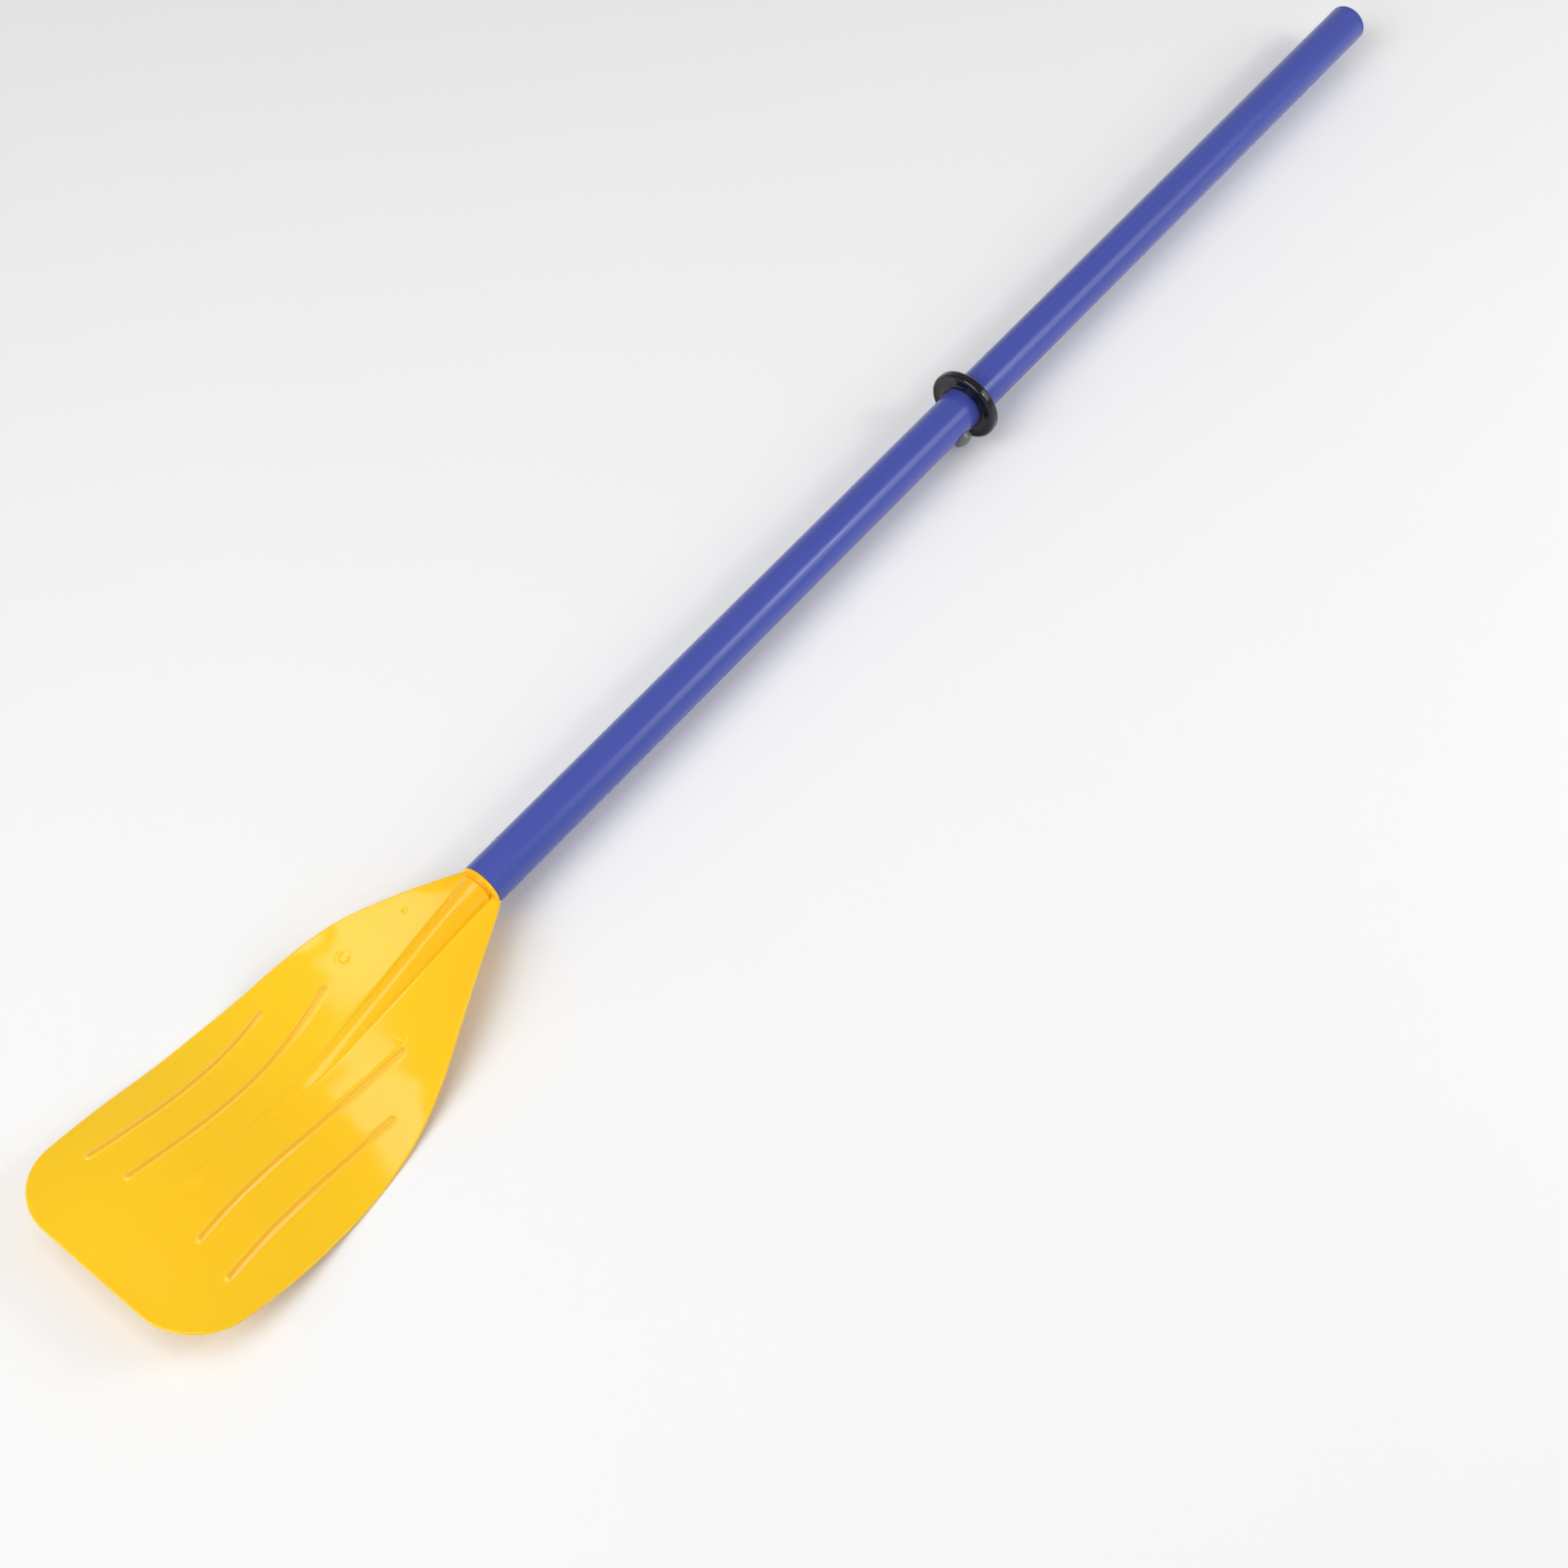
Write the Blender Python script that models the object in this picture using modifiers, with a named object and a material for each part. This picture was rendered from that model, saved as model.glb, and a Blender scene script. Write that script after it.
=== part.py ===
"""Take-apart oar (single-bladed paddle) for a small inflatable boat.

One yellow spoon blade on a two-piece blue tube. The handle half plugs into the
blade half with a ferrule, and a sprung button locks it. A black stop ring sits
over the joint.

Frame, in metres: the shaft's axis runs along X, blade at -X and handle at +X.
The blade's power face looks up (+Z). The origin is under the middle of the
oar, on the surface that it lies on.
"""
import math

import bmesh
import bpy
from mathutils import Matrix

# ---------------------------------------------------------------- driving sizes
TOTAL_LENGTH = 1.214
BLADE_LENGTH = 0.294
TUBE_OD = 0.0276
TUBE_WALL = 0.0016
GAP = 0.0003                 # clearance kept between neighbouring solids

BLADE_CORNER = 0.034         # radius of the two tip corners
BLADE_THICK = 0.0030         # at the middle
BLADE_EDGE = 0.0020          # at the rim
SPINE_LENGTH = 0.152         # neck to where the spine has sunk into the plate
SPINE_NECK = (0.0104, 0.0112)        # its half width and height at the neck
SPINE_CREST = 0.5            # how far its top draws up to a soft crest
CREST_RISE = (0.004, 0.030)  # the crest comes up between these
CREST_FALL = (0.120, 0.150)  # and is gone again between these
RIDGE = (0.0043, 0.0008)     # half width and height of the ridge that carries it on
RIDGE_FADE = (0.222, 0.231)  # the ridge dies away between these
RIB_HALF = 0.0029            # half width of a raised rib
RIB_HEIGHT = 0.0014
RIB_WAIST = 0.182            # the ribs come closest together here
RIB_FLARE = 1.2              # and spread by this times the distance squared
RIB_REACH = (0.44, 0.76)     # where the blade is narrow they stay within these shares of it
RIBS = ((0.0227, 0.099, 0.246), (0.0481, 0.130, 0.251))   # waist, start, stop

# Blade sections: distance from the neck, half width, height of the middle
# line and height of the rims above the shaft's axis.
SECTIONS = (
    (0.000, 0.0144, 0.0000, 0.0000),
    (0.010, 0.0203, -0.0014, 0.0004),
    (0.040, 0.0354, -0.0058, 0.0020),
    (0.070, 0.0496, -0.0105, -0.0014),
    (0.100, 0.0612, -0.0150, -0.0134),
    (0.130, 0.0690, -0.0190, -0.0246),
    (0.160, 0.0735, -0.0188, -0.0278),
    (0.190, 0.0758, -0.0138, -0.0260),
    (0.225, 0.0771, -0.0066, -0.0184),
    (0.260, 0.0754, -0.0020, -0.0082),
    (0.294, 0.0722, 0.0010, 0.0020),
)
FLANGE_THICK = 0.0022
SPIGOT_LENGTH = 0.058

LOWER_REACH = 0.4536         # neck to the seam between the tubes, just under the ring
FERRULE_WALL = 0.0018
FERRULE_IN_LOWER = 0.085
FERRULE_IN_UPPER = 0.060
RING_REACH = 0.4566          # neck to the middle of the stop ring
RING_OD = 0.0488
RING_WIDTH = 0.0066
RING_EDGE = 0.0021           # rounding of the ring's rim
BUTTON_REACH = 0.4380        # neck to the button's axis
BUTTON_RADIUS = 0.0064
BUTTON_BASE = 0.0073         # radius of the flange that keeps it in the ferrule
BUTTON_FOOT = (0.0052, 0.0067)   # shaft axis to the bottom and top of that flange
BUTTON_SHOULDER = 0.0150     # shaft axis to where the dome starts
BUTTON_TIP = 0.0191          # shaft axis to the top of the button
BUTTON_TURN = math.radians(34)   # below the blade's plane, on the -Y side
CAP_FLANGE = 0.0022
CAP_DEPTH = 0.020
PIN_RADIUS = 0.0020
BLADE_PIN_REACH = 0.024      # neck to the pin that holds the spigot
FERRULE_PIN_REACH = 0.040    # seam to the pin that holds the ferrule
SPRING_THICK = 0.0008
SPRING_WIDTH = 0.0080

# ---------------------------------------------------------------- derived sizes
TUBE_R = TUBE_OD / 2
BORE_R = TUBE_R - TUBE_WALL
FERRULE_R = BORE_R - GAP
FERRULE_BORE = FERRULE_R - FERRULE_WALL
RING_R = RING_OD / 2
NECK_X = BLADE_LENGTH - TOTAL_LENGTH / 2
SEAM_X = NECK_X + LOWER_REACH
END_X = TOTAL_LENGTH / 2
BUTTON_X = NECK_X + BUTTON_REACH
AXIS_HEIGHT = 0.02883        # the blade's rims touch the ground

ROUND = 40                   # segments round a tube

YELLOW = ((1.0, 0.60, 0.016), 0.28)
BLUE = ((0.076, 0.102, 0.456), 0.42)
BLACK = ((0.012, 0.012, 0.014), 0.30)
GREY = ((0.20, 0.20, 0.21), 0.45)
WHITE = ((0.62, 0.62, 0.60), 0.50)
STEEL = ((0.55, 0.55, 0.56), 0.30)


# ---------------------------------------------------------------- scene helpers
def clear_scene():
    for item in list(bpy.data.objects):
        bpy.data.objects.remove(item, do_unlink=True)


def new_collection(name):
    group = bpy.data.collections.new(name)
    bpy.context.scene.collection.children.link(group)
    return group


def make_material(name, look, metallic=0.0):
    colour, roughness = look
    material = bpy.data.materials.new(name)
    material.use_nodes = True
    shader = material.node_tree.nodes["Principled BSDF"]
    shader.inputs["Base Color"].default_value = (*colour, 1.0)
    shader.inputs["Roughness"].default_value = roughness
    shader.inputs["Metallic"].default_value = metallic
    return material


def make_object(name, mesh, group, material=None):
    item = bpy.data.objects.new(name, mesh)
    group.objects.link(item)
    if material:
        item.data.materials.append(material)
    return item


def mesh_from(name, bm, sharp_deg=35):
    bmesh.ops.recalc_face_normals(bm, faces=bm.faces)
    mesh = bpy.data.meshes.new(name)
    bm.to_mesh(mesh)
    bm.free()
    mesh.shade_smooth()
    mesh.set_sharp_from_angle(angle=math.radians(sharp_deg))
    return mesh


def add_boolean(item, cutter, operation):
    step = item.modifiers.new(cutter.name, "BOOLEAN")
    step.operation = operation
    step.object = cutter
    step.solver = "EXACT"


def hide_cutter(item):
    item.hide_render = True
    item.display_type = "WIRE"


# ---------------------------------------------------------------- turned shapes
def turned(name, profile, group, material=None, steps=ROUND):
    """Turn (radius, height) points about local Z. The outer side runs down."""
    bm = bmesh.new()
    points = [bm.verts.new((r, 0.0, z)) for r, z in profile]
    loop = points + points[:1] if profile[0][0] > 0 else points
    for a, b in zip(loop, loop[1:]):
        bm.edges.new((a, b))
    mesh = bpy.data.meshes.new(name)
    bm.to_mesh(mesh)
    bm.free()
    item = make_object(name, mesh, group, material)
    screw = item.modifiers.new("turn", "SCREW")
    screw.axis = "Z"
    screw.steps = steps
    screw.render_steps = steps
    screw.use_merge_vertices = True
    screw.merge_threshold = 0.00001
    screw.use_smooth_shade = True
    return item


def along_x(item, x, height):
    """Lay a turned piece so that its local Z points to +X, from the point x."""
    item.rotation_euler = (0.0, math.pi / 2, 0.0)
    item.location = (x, 0.0, height)


def radial_turn():
    """Turn about X that carries local Z onto the button's direction."""
    return math.pi / 2 + BUTTON_TURN


def cross_cutter(name, x, radius, length, group, height):
    """A cylinder through the shaft along the button's direction."""
    bm = bmesh.new()
    bmesh.ops.create_cone(bm, cap_ends=True, segments=24, radius1=radius,
                          radius2=radius, depth=length)
    item = make_object(name, mesh_from(name, bm), group)
    item.rotation_euler = (radial_turn(), 0.0, 0.0)
    item.location = (x, 0.0, height)
    hide_cutter(item)
    return item


def radial_cutter(name, x, radius, reach, group, height):
    """A cylinder from the shaft's axis outward, on the button's side only."""
    bm = bmesh.new()
    bmesh.ops.create_cone(bm, cap_ends=True, segments=32, radius1=radius,
                          radius2=radius, depth=reach,
                          matrix=Matrix.Translation((0.0, 0.0, reach / 2)))
    item = make_object(name, mesh_from(name, bm), group)
    item.rotation_euler = (radial_turn(), 0.0, 0.0)
    item.location = (x, 0.0, height)
    hide_cutter(item)
    return item


# ---------------------------------------------------------------- blade surface
def section(u):
    """Half width, middle height and rim height at the distance u, smoothly."""
    last = len(SECTIONS) - 1
    i = max(k for k in range(last) if SECTIONS[k][0] <= u or k == 0)
    before, after = SECTIONS[max(i - 1, 0)], SECTIONS[min(i + 2, last)]
    low, high = SECTIONS[i], SECTIONS[i + 1]
    span = high[0] - low[0]
    t = (u - low[0]) / span
    values = []
    for k in (1, 2, 3):
        slope_low = (high[k] - before[k]) / (high[0] - before[0]) * span
        slope_high = (after[k] - low[k]) / (after[0] - low[0]) * span
        values.append((2 * t ** 3 - 3 * t ** 2 + 1) * low[k]
                      + (t ** 3 - 2 * t ** 2 + t) * slope_low
                      + (3 * t ** 2 - 2 * t ** 3) * high[k]
                      + (t ** 3 - t ** 2) * slope_high)
    return values


def corner_drop(u):
    """How much the rounded tip corner takes off the half width."""
    into = max(u - (BLADE_LENGTH - BLADE_CORNER), 0.0)
    return BLADE_CORNER - math.sqrt(max(BLADE_CORNER ** 2 - into ** 2, 0.0))


def smooth_step(value, low, high):
    t = min(max((value - low) / (high - low), 0.0), 1.0)
    return t * t * (3.0 - 2.0 * t)


def rib_rise(u, start, stop):
    return RIB_HEIGHT * (smooth_step(u, start - 0.003, start + 0.003)
                         - smooth_step(u, stop - 0.004, stop + 0.002))


def spine_size(u):
    """Half width and height of the spine, then of the low ridge beyond it."""
    left = max(1.0 - u / SPINE_LENGTH, 0.0)
    half = RIDGE[0] + (SPINE_NECK[0] - RIDGE[0]) * left
    height = math.hypot(SPINE_NECK[1] * left, RIDGE[1])
    return half, height * (1.0 - smooth_step(u, *RIDGE_FADE))


def spine_share(u, t):
    """Height over the spine's at t of its half width: round, with a soft crest."""
    crest = SPINE_CREST * smooth_step(u, *CREST_RISE) * (1.0 - smooth_step(u, *CREST_FALL))
    return (1.0 - crest) * math.sqrt(1.0 - t * t) + crest * (1.0 - t ** 1.5)


def blade_row(u):
    """(v, front height, back height) across half of the blade, middle first."""
    full, middle, rim = section(u)
    half = full - corner_drop(u)
    spine, height = spine_size(u)
    points = [(spine * t, height * spine_share(u, t)) for t in (0.0, 0.25, 0.58, 0.87, 1.0)]
    room = half - spine
    width = min(RIB_HALF, 0.10 * room)
    for (waist, start, stop), reach in zip(RIBS, RIB_REACH):
        centre = min(waist + RIB_FLARE * (u - RIB_WAIST) ** 2, spine + reach * room)
        rise = rib_rise(u, start, stop)
        gap_middle = (points[-1][0] + centre - width) / 2
        points.append((gap_middle, 0.0))
        points += [(centre - width, 0.0), (centre - width / 2, rise),
                   (centre + width / 2, rise), (centre + width, 0.0)]
    points.append(((points[-1][0] + half) / 2, 0.0))
    points.append((half, 0.0))
    row = []
    for v, rise in points:
        share = min(v / full, 1.0)
        height = middle + (rim - middle) * share ** 2
        thick = BLADE_EDGE + (BLADE_THICK - BLADE_EDGE) * (1.0 - (v / half) ** 4)
        row.append((v, height + thick / 2 + rise, height - thick / 2 - rise))
    return row


def blade_stations():
    start = [FLANGE_THICK - 0.0010, 0.0045, 0.010, 0.020, 0.032, 0.045, 0.058, 0.071, 0.084]
    ribs = [0.096, 0.099, 0.102, 0.112, 0.120, 0.127, 0.130, 0.133]
    body = [0.143, 0.155, 0.167, 0.179, 0.191, 0.203, 0.215, 0.227, 0.234]
    ends = [0.240, 0.2435, 0.248, 0.253]
    corner_start = BLADE_LENGTH - BLADE_CORNER
    corner = [corner_start + BLADE_CORNER * math.sin(math.radians(a))
              for a in (12, 24, 36, 48, 60, 72, 82, 90)]
    return start + ribs + body + ends + corner


def make_blade_plate(group, height):
    """The ribbed spoon plate as one closed loft of front and back sheets."""
    bm = bmesh.new()
    sheets = []
    rows = [(u, blade_row(u)) for u in blade_stations()]
    for side in (1, 2):
        sheet = []
        for u, row in rows:
            across = [(-v, z) for v, z in ((p[0], p[side]) for p in row[:0:-1])]
            across += [(p[0], p[side]) for p in row]
            sheet.append([bm.verts.new((NECK_X - u, y, height + z)) for y, z in across])
        sheets.append(sheet)
    front, back = sheets
    for sheet in sheets:
        for near, far in zip(sheet, sheet[1:]):
            for k in range(len(near) - 1):
                bm.faces.new((near[k], near[k + 1], far[k + 1], far[k]))
    for i in range(len(front) - 1):
        for k in (0, -1):
            bm.faces.new((front[i][k], front[i + 1][k], back[i + 1][k], back[i][k]))
    for i in (0, -1):
        for k in range(len(front[i]) - 1):
            bm.faces.new((front[i][k], front[i][k + 1], back[i][k + 1], back[i][k]))
    return make_object("blade", mesh_from("blade", bm), group)


# ---------------------------------------------------------------- sub-parts
def make_blade(parts, cutters, height, material):
    blade = make_blade_plate(parts, height)
    blade.data.materials.append(material)
    core = BORE_R - GAP
    hollow = core - 0.0026
    spigot = turned("neck_turning", [
        (TUBE_R - 0.0003, 0.0), (TUBE_R, -0.0003), (TUBE_R, -FLANGE_THICK + 0.0003),
        (TUBE_R - 0.0003, -FLANGE_THICK), (0.0, -FLANGE_THICK), (0.0, 0.004),
        (hollow, 0.006), (hollow, SPIGOT_LENGTH), (core - 0.0010, SPIGOT_LENGTH),
        (core, SPIGOT_LENGTH - 0.0015), (core, 0.0),
    ], cutters)
    along_x(spigot, NECK_X, height)
    hide_cutter(spigot)
    add_boolean(blade, spigot, "UNION")
    add_boolean(blade, bpy.data.objects["blade_pin_hole"], "DIFFERENCE")
    return blade


def make_tube(name, start, end, cuts, parts, height, material):
    edge = 0.0004
    length = end - start
    tube = turned(name, [
        (BORE_R, length), (TUBE_R - edge, length), (TUBE_R, length - edge),
        (TUBE_R, edge), (TUBE_R - edge, 0.0), (BORE_R, 0.0),
    ], parts, material)
    along_x(tube, start, height)
    for cut in cuts:
        add_boolean(tube, bpy.data.objects[cut], "DIFFERENCE")
    return tube


def make_ferrule(parts, height, material):
    length = FERRULE_IN_LOWER + FERRULE_IN_UPPER
    lead = 0.0016
    ferrule = turned("joint_ferrule", [
        (FERRULE_BORE, length), (FERRULE_R, length), (FERRULE_R, lead),
        (FERRULE_R - lead / 2, 0.0), (FERRULE_BORE, 0.0),
    ], parts, material)
    along_x(ferrule, SEAM_X - FERRULE_IN_LOWER, height)
    for cut in ("button_hole_ferrule", "ferrule_pin_hole"):
        add_boolean(ferrule, bpy.data.objects[cut], "DIFFERENCE")


def make_ring(parts, height, material):
    bore = TUBE_R + GAP
    half = RING_WIDTH / 2
    rim = [(RING_R - RING_EDGE + RING_EDGE * math.sin(a), half - RING_EDGE + RING_EDGE * math.cos(a))
           for a in (math.radians(k) for k in (0, 22.5, 45, 67.5, 90))]
    lower_rim = [(r, -z) for r, z in reversed(rim)]
    profile = [(bore, half - 0.0005), (bore + 0.0005, half)] + rim
    profile += lower_rim + [(bore + 0.0005, -half), (bore, -half + 0.0005)]
    ring = turned("stop_ring", profile, parts, material, steps=48)
    along_x(ring, NECK_X + RING_REACH, height)


def make_button(parts, height, material):
    """A domed plunger. Its base flange stays inside the ferrule."""
    base_low, base_high = BUTTON_FOOT
    rise = BUTTON_TIP - BUTTON_SHOULDER
    dome = [(BUTTON_RADIUS * math.cos(a), BUTTON_SHOULDER + rise * math.sin(a))
            for a in (math.radians(k) for k in (75, 60, 45, 30, 15, 0))]
    button = turned("snap_button", [(0.0, BUTTON_TIP)] + dome + [
        (BUTTON_RADIUS, base_high), (BUTTON_BASE, base_high),
        (BUTTON_BASE, base_low), (0.0, base_low),
    ], parts, material, steps=32)
    button.rotation_euler = (radial_turn(), 0.0, 0.0)
    button.location = (BUTTON_X, 0.0, height)


def strip_outline(path, thick):
    """Closed outline of a strip of even thickness along an open path."""
    sides = ([], [])
    for i, (x, y) in enumerate(path):
        ahead = path[min(i + 1, len(path) - 1)]
        behind = path[max(i - 1, 0)]
        dx, dy = ahead[0] - behind[0], ahead[1] - behind[1]
        size = math.hypot(dx, dy)
        for side, points in zip((0.5, -0.5), sides):
            points.append((x - side * thick * dy / size, y + side * thick * dx / size))
    return sides[0] + sides[1][::-1]


def make_button_spring(parts, height, material):
    """A hairpin leaf: one arm under the button, the other on the far wall."""
    arm_top, arm_low = 0.0045, -0.0084
    bend_x, bend_r = -0.030, 0.0030
    centre_y = arm_low + bend_r
    path = [(0.0055, arm_top), (-0.0055, arm_top)]
    path += [(bend_x + bend_r * math.cos(a), centre_y + bend_r * math.sin(a))
             for a in (math.radians(k) for k in range(70, 291, 20))]
    path += [(0.008, arm_low)]
    curve = bpy.data.curves.new("button_spring", "CURVE")
    curve.dimensions = "2D"
    curve.fill_mode = "BOTH"
    curve.extrude = SPRING_WIDTH / 2
    outline = strip_outline(path, SPRING_THICK)
    spline = curve.splines.new("POLY")
    spline.points.add(len(outline) - 1)
    spline.use_cyclic_u = True
    for point, (x, y) in zip(spline.points, outline):
        point.co = (x, y, 0.0, 1.0)
    spring = make_object("button_spring", curve, parts, material)
    spring.rotation_euler = (radial_turn() + math.pi / 2, 0.0, 0.0)
    spring.location = (BUTTON_X, 0.0, height)


def make_end_cap(parts, height, material):
    plug = BORE_R - GAP
    hollow = plug - 0.0018
    flat = TUBE_R - 0.0016
    cap = turned("end_cap", [
        (0.0, CAP_FLANGE), (flat, CAP_FLANGE), (TUBE_R - 0.0004, CAP_FLANGE - 0.0006),
        (TUBE_R, CAP_FLANGE - 0.0013), (TUBE_R, 0.0), (plug, 0.0),
        (plug, -CAP_DEPTH + 0.0012), (plug - 0.0008, -CAP_DEPTH), (hollow, -CAP_DEPTH),
        (hollow, 0.0), (0.0, 0.0),
    ], parts, material)
    along_x(cap, END_X - CAP_FLANGE, height)


def make_pin(name, x, parts, height, material):
    edge = 0.0003
    length = 2 * TUBE_R - 0.0006
    half = length / 2
    pin = turned(name, [
        (0.0, half), (PIN_RADIUS - edge, half), (PIN_RADIUS, half - edge),
        (PIN_RADIUS, -half + edge), (PIN_RADIUS - edge, -half), (0.0, -half),
    ], parts, material, steps=20)
    pin.rotation_euler = (radial_turn(), 0.0, 0.0)
    pin.location = (x, 0.0, height)


def main():
    clear_scene()
    parts = new_collection("oar")
    cutters = new_collection("cutters")
    height = AXIS_HEIGHT
    yellow = make_material("blade_yellow", YELLOW)
    blue = make_material("shaft_blue", BLUE)
    black = make_material("ring_black", BLACK)
    grey = make_material("button_grey", GREY)
    white = make_material("ferrule_white", WHITE)
    steel = make_material("spring_steel", STEEL, metallic=1.0)

    through = TUBE_OD + 0.006
    hole = PIN_RADIUS + GAP
    cross_cutter("blade_pin_hole", NECK_X + BLADE_PIN_REACH, hole, through, cutters, height)
    cross_cutter("ferrule_pin_hole", SEAM_X + FERRULE_PIN_REACH, hole, through, cutters, height)
    for name in ("button_hole_tube", "button_hole_ferrule"):
        radial_cutter(name, BUTTON_X, BUTTON_RADIUS + GAP, TUBE_OD, cutters, height)

    make_blade(parts, cutters, height, yellow)
    make_tube("lower_shaft", NECK_X + GAP, SEAM_X - GAP / 2,
              ("blade_pin_hole", "button_hole_tube"), parts, height, blue)
    make_tube("upper_shaft", SEAM_X + GAP / 2, END_X - CAP_FLANGE - GAP,
              ("ferrule_pin_hole",), parts, height, blue)
    make_ferrule(parts, height, white)
    make_ring(parts, height, black)
    make_button(parts, height, grey)
    make_button_spring(parts, height, steel)
    make_end_cap(parts, height, blue)
    make_pin("blade_pin", NECK_X + BLADE_PIN_REACH, parts, height, steel)
    make_pin("ferrule_pin", SEAM_X + FERRULE_PIN_REACH, parts, height, steel)


main()
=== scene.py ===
"""Looks of the take-apart oar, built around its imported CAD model.

Every piece keeps the place and size that the CAD model gives it: X runs along
the shaft, the blade is at -X and its power face looks up. Each visible part is
modelled again with fine, rounded surfaces and rides on its CAD body.
"""
import math

import bmesh
import bpy
from mathutils import Matrix, Vector, noise


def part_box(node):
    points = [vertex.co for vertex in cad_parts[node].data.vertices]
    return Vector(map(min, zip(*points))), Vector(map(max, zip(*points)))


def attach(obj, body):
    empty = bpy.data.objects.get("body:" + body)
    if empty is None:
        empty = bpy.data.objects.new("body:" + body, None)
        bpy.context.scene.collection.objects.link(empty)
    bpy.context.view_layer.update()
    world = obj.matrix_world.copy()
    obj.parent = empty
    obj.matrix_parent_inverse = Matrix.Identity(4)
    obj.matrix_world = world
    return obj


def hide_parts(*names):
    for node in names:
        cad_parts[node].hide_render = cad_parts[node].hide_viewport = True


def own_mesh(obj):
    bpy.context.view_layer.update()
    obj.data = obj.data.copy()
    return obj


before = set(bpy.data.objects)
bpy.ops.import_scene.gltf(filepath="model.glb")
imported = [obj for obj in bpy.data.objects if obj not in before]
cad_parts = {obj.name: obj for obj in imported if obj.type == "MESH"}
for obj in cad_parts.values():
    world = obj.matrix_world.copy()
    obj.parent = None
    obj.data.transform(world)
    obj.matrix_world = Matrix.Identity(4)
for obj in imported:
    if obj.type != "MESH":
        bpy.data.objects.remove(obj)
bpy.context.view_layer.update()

# ------------------------------------------------- places read from the frame
BLADE_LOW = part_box("blade")[0]
LOWER_LOW, LOWER_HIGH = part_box("lower_shaft")
UPPER_LOW, UPPER_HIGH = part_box("upper_shaft")
FERRULE_LOW, FERRULE_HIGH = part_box("joint_ferrule")
RING_LOW, RING_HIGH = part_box("stop_ring")
CAP_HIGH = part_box("end_cap")[1]
BLADE_PIN_LOW, BLADE_PIN_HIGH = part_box("blade_pin")
FERRULE_PIN_LOW, FERRULE_PIN_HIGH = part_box("ferrule_pin")
BUTTON_LOW, BUTTON_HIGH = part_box("snap_button")

GAP = 0.0003                 # clearance between neighbouring pieces
TUBE_WALL = 0.0016
FERRULE_WALL = 0.0018
AXIS_Z = (UPPER_LOW[2] + UPPER_HIGH[2]) / 2
TUBE_R = (UPPER_HIGH[2] - UPPER_LOW[2]) / 2
BORE_R = TUBE_R - TUBE_WALL
NECK_X = LOWER_LOW[0] - GAP
BLADE_LENGTH = NECK_X - BLADE_LOW[0]
RING_R = (RING_HIGH[2] - RING_LOW[2]) / 2
FERRULE_R = (FERRULE_HIGH[2] - FERRULE_LOW[2]) / 2
FERRULE_BORE = FERRULE_R - FERRULE_WALL
BUTTON_X = (BUTTON_LOW[0] + BUTTON_HIGH[0]) / 2
BLADE_PIN_X = (BLADE_PIN_LOW[0] + BLADE_PIN_HIGH[0]) / 2
FERRULE_PIN_X = (FERRULE_PIN_LOW[0] + FERRULE_PIN_HIGH[0]) / 2

# ------------------------------------------------- blade, as in the CAD model
BLADE_CORNER = 0.034         # radius of the two tip corners
BLADE_THICK = 0.0030         # at the middle
BLADE_EDGE = 0.0020          # at the rim
TIP_THINS = (0.040, 0.002)   # before the tip, it thins to the rim's between these
SPINE_END = 0.152            # where the half-round spine has sunk into the plate
SPINE_NECK = (0.0104, 0.0112)        # its half width and height at the neck
SPINE_CREST = 0.5            # how far the spine's top draws up to a crest
CREST_RISE = (0.004, 0.030)  # the crest comes up between these
CREST_FALL = (0.120, 0.150)  # and is gone again between these
RIDGE = (0.0043, 0.0008)     # half width and height of the ridge beyond it
RIDGE_FADE = (0.222, 0.231)  # the ridge dies away between these
FOOT_FILLET = 0.0004
RIB_HALF = 0.0029            # half the width that has fine columns for a rib
RIB_HEIGHT = 0.0012
RIB_TOP = 0.0008             # half width of a rib's top, before its flanks
RIB_FOOT = 0.0026            # half width where its flanks end
RIB_EASE = 0.0003            # easing at both ends of the flanks
RIB_STRAIGHT = 0.6           # share of straight flank in that easing
RIB_WAIST = 0.182            # the ribs come closest together here
RIB_FLARE = 1.2              # and spread by this times the distance squared
RIB_REACH = (0.44, 0.76)     # where the blade is narrow they stay within these shares
RIBS = ((0.0227, 0.099, 0.246), (0.0481, 0.130, 0.251))      # waist, start, stop
GROOVE = (0.0036, 0.0047)    # the spine's front step stands between these
GROOVE_DEPTH = 0.10
FLANGE_THICK = 0.0022
SPIGOT_LENGTH = 0.058
SPIGOT_WALL = 0.0026
# Blade sections: distance from the neck, half width, height of the middle
# line and height of the rims above the shaft's axis.
SECTIONS = (
    (0.000, 0.0144, 0.0000, 0.0000),
    (0.010, 0.0203, -0.0014, 0.0004),
    (0.040, 0.0354, -0.0058, 0.0020),
    (0.070, 0.0496, -0.0105, -0.0014),
    (0.100, 0.0612, -0.0150, -0.0134),
    (0.130, 0.0690, -0.0190, -0.0246),
    (0.160, 0.0735, -0.0188, -0.0278),
    (0.190, 0.0758, -0.0138, -0.0260),
    (0.225, 0.0771, -0.0066, -0.0184),
    (0.260, 0.0754, -0.0020, -0.0082),
    (0.294, 0.0722, 0.0010, 0.0020),
)
# Ejector marks on the power face: distance from the neck, side, ring radius.
MARKS = ((0.0795, 0.0329, 0.0034), (0.0957, -0.0262, 0.0018), (0.0392, 0.0238, 0.0012))
MARK_DEPTH = 0.0005
WAVE_HEIGHT = 0.00014        # the gentle unevenness of a moulded sheet
WAVE_SCALE = 24.0
WAVE_START = (0.015, 0.060)  # it grows between these distances from the neck
WAVE_SIDES = (0.060, 0.076)  # and dies away between these towards the rims

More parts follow.
